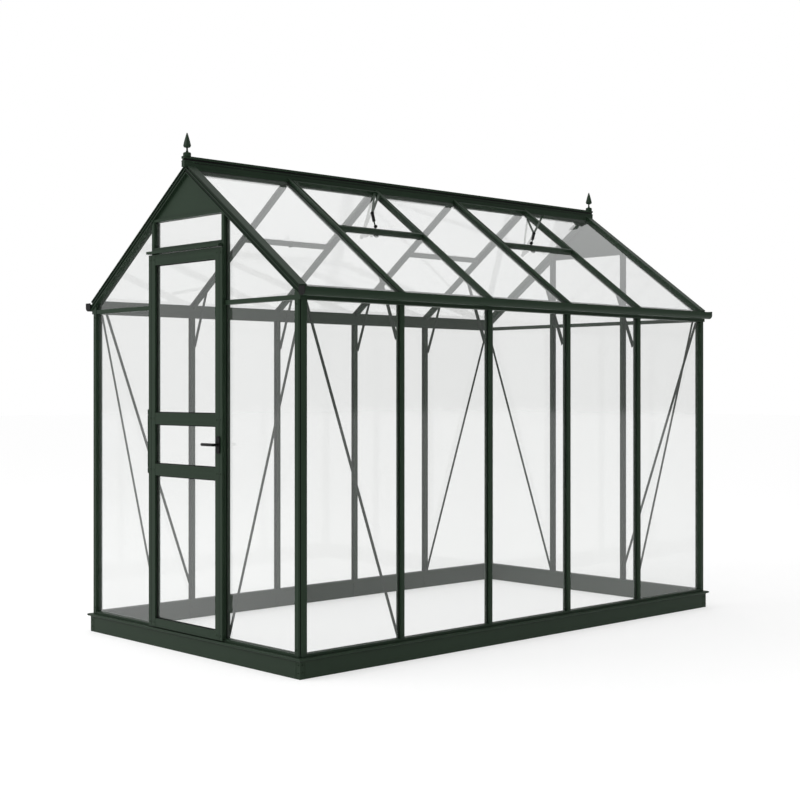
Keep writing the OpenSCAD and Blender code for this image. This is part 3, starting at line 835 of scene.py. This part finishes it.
@dataclass
class SealsAndPaintedShade:
    """Dark rubber lines where the sheets meet the glazing bars, and painted shade in the corner
    posts' grooves.
    """

    outline: Outline
    palette: Palette
    wide: float = 0.005
    proud: float = 0.0015
    half_bar: float = 0.012
    half_roof_bar: float = 0.009
    depth: float = 0.017

    def walls(self) -> None:
        """Strips beside the upright bars of both long walls."""
        o = self.outline
        y = (o.bars[:, None] + np.array([-1, 1]) * (self.half_bar + self.wide / 2)).ravel()
        x = o.half_wide - self.depth
        low = np.stack([np.full(8, x), y - self.wide / 2, np.full(8, o.sill)], axis=-1)
        high = np.stack([np.full(8, x + self.proud), y + self.wide / 2, np.full(8, o.beam)], -1)
        left_low, left_high = low.copy(), high.copy()
        left_low[:, 0], left_high[:, 0] = -high[:, 0], -low[:, 0]
        buffer = MeshBuffer()
        buffer.boxes(np.concatenate([low, left_low]), np.concatenate([high, left_high]))
        self.palette.place(buffer.build("wall_seals"), Slot.PLASTIC)

    def roof(self) -> None:
        """Strips beside the roof bars of both slopes, outside the vented bays."""
        o = self.outline
        sides = np.array([[0, -1], [1, 1], [2, -1], [3, 1]])
        y = o.bars[sides[:, 0]] + sides[:, 1] * (self.half_roof_bar + self.wide / 2)
        run = np.array([0.025, o.half_wide - 0.01])
        buffer = MeshBuffer()
        corner = np.array([[-1, 0], [1, 0], [1, 1], [-1, 1]]) * [self.wide / 2, self.proud]
        for side in (1, -1):
            for centre in y:
                ends = o.on_roof(run[:, None], centre + corner[None, :, 0],
                                 corner[None, :, 1] - self.depth, side)
                buffer.grid(ends, caps=True)
        self.palette.place(buffer.build("roof_seals"), Slot.PLASTIC)

    def posts(self) -> None:
        """Dark strips of painted shade lying in the grooves down the corner posts."""
        o = self.outline
        near, far = 0.0112, 0.0076
        low = np.array([o.half_wide - near, -o.half_long + far, o.sill])
        high = np.array([o.half_wide - far, -o.half_long + near, o.beam])
        pairs = both_ends(both_sides(np.stack([low, high]))).reshape(4, 2, 3)
        buffer = MeshBuffer()
        buffer.boxes(pairs.min(axis=1), pairs.max(axis=1))
        self.palette.place(buffer.build("post_painted_shade"), Slot.PLASTIC)

    def gables(self) -> None:
        """Strips beside the door posts, in front of the gable's side sheets."""
        o = self.outline
        _, post = span("right_door_post")
        rail = span("front_right_rail")
        y = -o.half_long + self.depth
        x = post[0]
        levels = ((o.sill, rail[0][2]), (rail[1][2], o.apex - (x + 0.01) * math.tan(o.pitch) - 0.06))
        low = np.array([[x, y - self.proud, a] for a, _ in levels])
        high = np.array([[x + self.wide, y, b] for _, b in levels])
        pairs = both_sides(np.stack([low, high], axis=1).reshape(-1, 3)).reshape(-1, 2, 3)
        buffer = MeshBuffer()
        buffer.boxes(pairs.min(axis=1), pairs.max(axis=1))
        self.palette.place(buffer.build("gable_seals"), Slot.PLASTIC)

    def build(self) -> None:
        """Builds the whole sub-assembly."""
        self.walls()
        self.roof()
        self.posts()
        self.gables()


@dataclass
class EaveAndRidge:
    """Bolt heads under the eave, beads along the eave, painted shade in the ridge's grooves and the
    bracket under the ridge.
    """

    outline: Outline
    palette: Palette

    def bolts(self) -> None:
        """Pairs of heads where each bar meets the eave beam and the plinth."""
        o = self.outline
        levels = np.array([o.sill + 0.018, o.beam - 0.018])
        y, z = np.meshgrid(o.bars, levels, indexing="ij")
        x = np.full(y.size, o.half_wide)
        places = both_sides(np.stack([x, y.ravel(), z.ravel()], axis=-1))
        outward = np.zeros_like(places)
        outward[:, 0] = np.sign(places[:, 0])
        self.palette.place(Fixings(0.0038, 0.0022).build("bar_bolts", places, outward), Slot.GREEN)

    def bracket(self) -> None:
        """Triangular plate under the ridge near the back gable, in the middle plane."""
        low, high = span("ridge_beam")
        y1 = high[1] - 0.02
        corner = np.array([[y1, low[2]], [y1, low[2] - 0.062], [y1 - 0.105, low[2]]])
        plate = np.stack([
            np.stack([np.full(3, x), corner[:, 0], corner[:, 1]], axis=-1)
            for x in (-0.0015, 0.0015)
        ])
        buffer = MeshBuffer()
        buffer.grid(plate, caps=True)
        self.palette.place(buffer.build("ridge_bracket"), Slot.GREEN)

    def ridge_lines(self) -> None:
        """Dark strips of painted shade lying in the grooves of the ridge cap and beam, on both sides.
        """
        cap_low, cap_high = span("ridge_cap")
        beam_low, beam_high = span("ridge_beam")
        crest = cap_high[2]
        levels = np.array([[crest - 0.0215, crest - 0.0125], [crest - 0.0330, crest - 0.0300]])
        beam = np.array([[beam_low[2] + 0.0130, beam_low[2] + 0.0160]])
        inner = np.array([0.0060, 0.0120, beam_high[0] - 0.005])
        outer = np.array([0.0072, 0.0124, beam_high[0] - 0.001])
        ends = np.array([cap_high[1], beam_high[1], beam_high[1]]) - 0.001
        span_z = np.concatenate([levels, beam])
        low = np.stack([inner, -ends, span_z[:, 0]], axis=-1)
        high = np.stack([outer, ends, span_z[:, 1]], axis=-1)
        pairs = both_sides(np.stack([low, high], axis=1).reshape(-1, 3)).reshape(-1, 2, 3)
        buffer = MeshBuffer()
        buffer.boxes(pairs.min(axis=1), pairs.max(axis=1))
        LOG.info("ridge cap from %.3f", cap_low[2])
        self.palette.place(buffer.build("ridge_painted_shade"), Slot.PLASTIC)

    def eave_ribs(self) -> None:
        """Round beads along both eave beams, bead j a half circle of radius r_j at level z_j."""
        o = self.outline
        beam_low, beam_high = span("right_eave_beam")
        turn = np.linspace(-math.pi / 2, math.pi / 2, 9)
        buffer = MeshBuffer()
        for level in (beam_low[2] + 0.004, beam_low[2] + 0.020):
            section = np.stack([0.003 * np.cos(turn), 0.003 * np.sin(turn)], axis=-1)
            ends = [
                np.stack([o.half_wide + section[:, 0], np.full(9, y), level + section[:, 1]], -1)
                for y in (beam_low[1], beam_high[1])
            ]
            grid = np.stack(ends)
            buffer.grid(grid, caps=True)
            buffer.grid(grid * np.array([-1.0, 1.0, 1.0]), caps=True)
        self.palette.place(buffer.build("eave_beads"), Slot.GREEN)

    def build(self) -> None:
        """Builds the whole sub-assembly."""
        self.bolts()
        self.bracket()
        self.ridge_lines()
        self.eave_ribs()


@dataclass
class DoorDetails:
    """Screws and rib lines of the door, and dark strips of painted shade round its panes and down its
    stiles.
    """

    palette: Palette

    def corner_screws(self) -> None:
        """Two heads at each end of every door rail, through the stiles."""
        low, high = span("door_stiles")
        rail_low, _ = span("door_rails")
        handle = span("handle_plate")
        x = np.array([high[0] - 0.046, high[0] - 0.016])
        z = np.array([low[2] + 0.022, 0.905, 1.166, high[2] - 0.026])
        gx, gz = np.meshgrid(np.concatenate([x, -x]), z)
        keep = ~((gx.ravel() > 0) & (np.abs(gz.ravel() - (handle[0][2] + handle[1][2]) / 2) < 0.06))
        places = np.stack([gx.ravel(), np.full(gx.size, low[1]), gz.ravel()], axis=-1)[keep]
        normals = np.tile([0.0, -1.0, 0.0], (len(places), 1))
        obj = Fixings(0.0036, 0.002).build("door_screws", places, normals)
        LOG.info("door rails start at %.3f", rail_low[2])
        self.palette.place(obj, Slot.GREEN, Body.DOOR)

    def plate_details(self) -> None:
        """Two screws on the handle plate."""
        low, high = span("handle_plate")
        x = (low[0] + high[0]) / 2
        z = np.array([low[2] + 0.009, high[2] - 0.009])
        places = np.stack([np.full(2, x), np.full(2, low[1]), z], axis=-1)
        normals = np.tile([0.0, -1.0, 0.0], (2, 1))
        obj = Fixings(0.0034, 0.0016).build("plate_screws", places, normals)
        self.palette.place(obj, Slot.PLASTIC, Body.DOOR)

    def rail_ribs(self) -> None:
        """Two raised lines along each door rail's face."""
        _, stile_high = span("door_stiles")
        low, _ = span("door_rails")
        half = stile_high[0] - 0.057
        centres = np.array([0.9045, 1.1655, stile_high[2] - 0.027])
        z = (centres[:, None] + np.array([-0.014, 0.014])).ravel()
        y = low[1]
        lows = np.stack([np.full(6, -half), np.full(6, y - 0.0012), z - 0.001], axis=-1)
        highs = np.stack([np.full(6, half), np.full(6, y), z + 0.001], axis=-1)
        buffer = MeshBuffer()
        buffer.boxes(lows, highs)
        self.palette.place(buffer.build("door_rail_ribs"), Slot.GREEN, Body.DOOR)

    def painted_shade_strips(self) -> None:
        """Dark strips of painted shade round the door's panes and in the grooves down its stiles."""
        low, high = span("door_stiles")
        half = high[0] - 0.057
        glass = span("door_sheets")[0]
        face, front = glass[1], low[1]
        w, t = 0.005, 0.003
        panes = ((glass[2], 0.875), (0.934, 1.136), (1.195, high[2] - 0.054))
        edges = np.array([e for a, b in panes for e in (
            [-half, a, -half + w, b], [half - w, a, half, b],
            [-half + w, a, half - w, a + w], [-half + w, b - w, half - w, b])])
        lows = np.stack([edges[:, 0], np.full(len(edges), face - t), edges[:, 1]], axis=-1)
        highs = np.stack([edges[:, 2], np.full(len(edges), face), edges[:, 3]], axis=-1)
        buffer = MeshBuffer()
        buffer.boxes(lows, highs)
        groove = high[0] - 0.057 * 0.42
        cords = np.array([[groove - 0.0013, front + 0.0006, low[2] + 0.002],
                          [groove + 0.0013, front + 0.0019, high[2] - 0.002]])
        pairs = both_sides(cords).reshape(2, 2, 3)
        buffer.boxes(pairs.min(axis=1), pairs.max(axis=1))
        self.palette.place(buffer.build("door_painted_shade"), Slot.PLASTIC, Body.DOOR)

    def build(self) -> None:
        """Builds the whole sub-assembly."""
        self.corner_screws()
        self.plate_details()
        self.rail_ribs()
        self.painted_shade_strips()


# ------------------------------------------------------------------------ studio


@dataclass(frozen=True)
class View:
    """The camera.

    Attributes:
        place: Position.
        turn: Heading about Z in radians, 0 looking along +Y.
        lens: Focal length in millimetres on a 36 mm sensor.
        shift_y: Shift of the picture in sensor widths.
    """

    place: tuple[float, float, float] = (5.870883, -5.636423, 1.310850)
    turn: float = 0.816
    lens: float = 63.768
    shift_y: float = -0.01255

    def build(self) -> None:
        """Makes it the scene's camera."""
        data = bpy.data.cameras.new("camera")
        data.lens = self.lens
        data.sensor_width = 36.0
        data.shift_y = self.shift_y
        obj = bpy.data.objects.new("camera", data)
        obj.location = self.place
        obj.rotation_euler = (math.pi / 2, 0.0, self.turn)
        bpy.context.scene.collection.objects.link(obj)
        bpy.context.scene.camera = obj


@dataclass(frozen=True)
class Lamp:
    """A soft area light.

    Attributes:
        name: Name of the light.
        place: Position.
        aim: Point that it faces.
        size: Edge of its square.
        power: Power in watts.
    """

    name: str
    place: tuple[float, float, float]
    aim: tuple[float, float, float]
    size: float
    power: float

    def build(self) -> None:
        """Adds the light, hidden from the camera."""
        data = bpy.data.lights.new(self.name, "AREA")
        data.size = self.size
        data.energy = self.power
        obj = bpy.data.objects.new(self.name, data)
        obj.location = self.place
        back = Vector(self.place) - Vector(self.aim)
        obj.rotation_euler = back.to_track_quat("Z", "Y").to_euler()
        obj.visible_camera = False
        bpy.context.scene.collection.objects.link(obj)


@dataclass
class Studio:
    """White floor and backdrop with soft light from above.

    Attributes:
        glow: Share of the floor's brightness that it gives off itself.
        albedo: Share of light that the floor scatters.
        sky: Strength of the soft light all round.
        bias: Direction towards which the soft light grows stronger.
    """

    glow: float = 0.53
    albedo: float = 0.5
    sky: float = 0.92
    bias: tuple[float, float, float] = (-0.38, -0.22, 0.95)
    floor_half: float = 60.0

    def world(self) -> None:
        """White to camera, mirrored and passing rays; soft light brighter above for the rest."""
        world = bpy.data.worlds.new("studio")
        bpy.context.scene.world = world
        world.use_nodes = True
        tree = world.node_tree
        tree.nodes.clear()
        nodes, links = tree.nodes, tree.links
        out = nodes.new("ShaderNodeOutputWorld")
        rays = nodes.new("ShaderNodeLightPath")
        seen = nodes.new("ShaderNodeBackground")
        soft = nodes.new("ShaderNodeBackground")
        mix = nodes.new("ShaderNodeMixShader")
        place = nodes.new("ShaderNodeTexCoord")
        lean = nodes.new("ShaderNodeVectorMath")
        lean.operation = "DOT_PRODUCT"
        lean.inputs[1].default_value = self.bias
        ramp = nodes.new("ShaderNodeMapRange")
        seen.inputs["Color"].default_value = (1.0, 1.0, 1.0, 1.0)
        seen.inputs["Strength"].default_value = 1.0
        soft.inputs["Color"].default_value = (1.0, 1.0, 1.0, 1.0)
        ramp.inputs["From Min"].default_value = -0.2
        ramp.inputs["From Max"].default_value = 1.0
        ramp.inputs["To Min"].default_value = self.sky * 0.30
        ramp.inputs["To Max"].default_value = self.sky * 1.30
        links.new(place.outputs["Object"], lean.inputs[0])
        links.new(lean.outputs["Value"], ramp.inputs["Value"])
        links.new(ramp.outputs["Result"], soft.inputs["Strength"])
        links.new(rays.outputs["Is Camera Ray"], mix.inputs["Fac"])
        links.new(soft.outputs["Background"], mix.inputs[1])
        links.new(seen.outputs["Background"], mix.inputs[2])
        links.new(mix.outputs["Shader"], out.inputs["Surface"])

    def floor(self) -> None:
        """Plain floor that glows white and takes the object's shadow."""
        half = self.floor_half
        points = np.array([[-half, -half, 0], [half, -half, 0], [half, half, 0], [-half, half, 0]])
        buffer = MeshBuffer()
        buffer.add(points - np.array([0, 0, 0.0005]), np.array([[0, 1, 2, 3]]))
        obj = buffer.build("floor")
        material, tree = shader("floor_white")
        nodes, links = tree.nodes, tree.links
        out = nodes.new("ShaderNodeOutputMaterial")
        lit = nodes.new("ShaderNodeBsdfDiffuse")
        glow = nodes.new("ShaderNodeEmission")
        both = nodes.new("ShaderNodeAddShader")
        lit.inputs["Color"].default_value = (self.albedo, self.albedo, self.albedo, 1.0)
        glow.inputs["Color"].default_value = (1.0, 1.0, 1.0, 1.0)
        glow.inputs["Strength"].default_value = self.glow
        links.new(lit.outputs["BSDF"], both.inputs[0])
        links.new(glow.outputs["Emission"], both.inputs[1])
        links.new(both.outputs["Shader"], out.inputs["Surface"])
        obj.data.materials.append(material)

    def build(self) -> None:
        """Builds the studio."""
        self.world()
        self.floor()
        Lamp("key", (-3.5, -7.5, 7.5), (0.0, 0.0, 1.0), 5.0, 260.0).build()


def main() -> None:
    """Builds the scene."""
    logging.basicConfig(level=logging.INFO, format="%(name)s %(message)s")
    bpy.context.scene.view_settings.view_transform = "Standard"
    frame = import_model()
    outline = Outline.read()
    palette = Palette(PALETTE)
    palette.dress_cad(frame)
    parts = (
        Gables(outline, palette),
        Plinth(outline, palette),
        RoofVents(outline, palette),
        SealsAndPaintedShade(outline, palette),
        EaveAndRidge(outline, palette),
        DoorDetails(palette),
    )
    for part in parts:
        part.build()
    View().build()
    Studio().build()


if __name__ == "__main__":
    main()
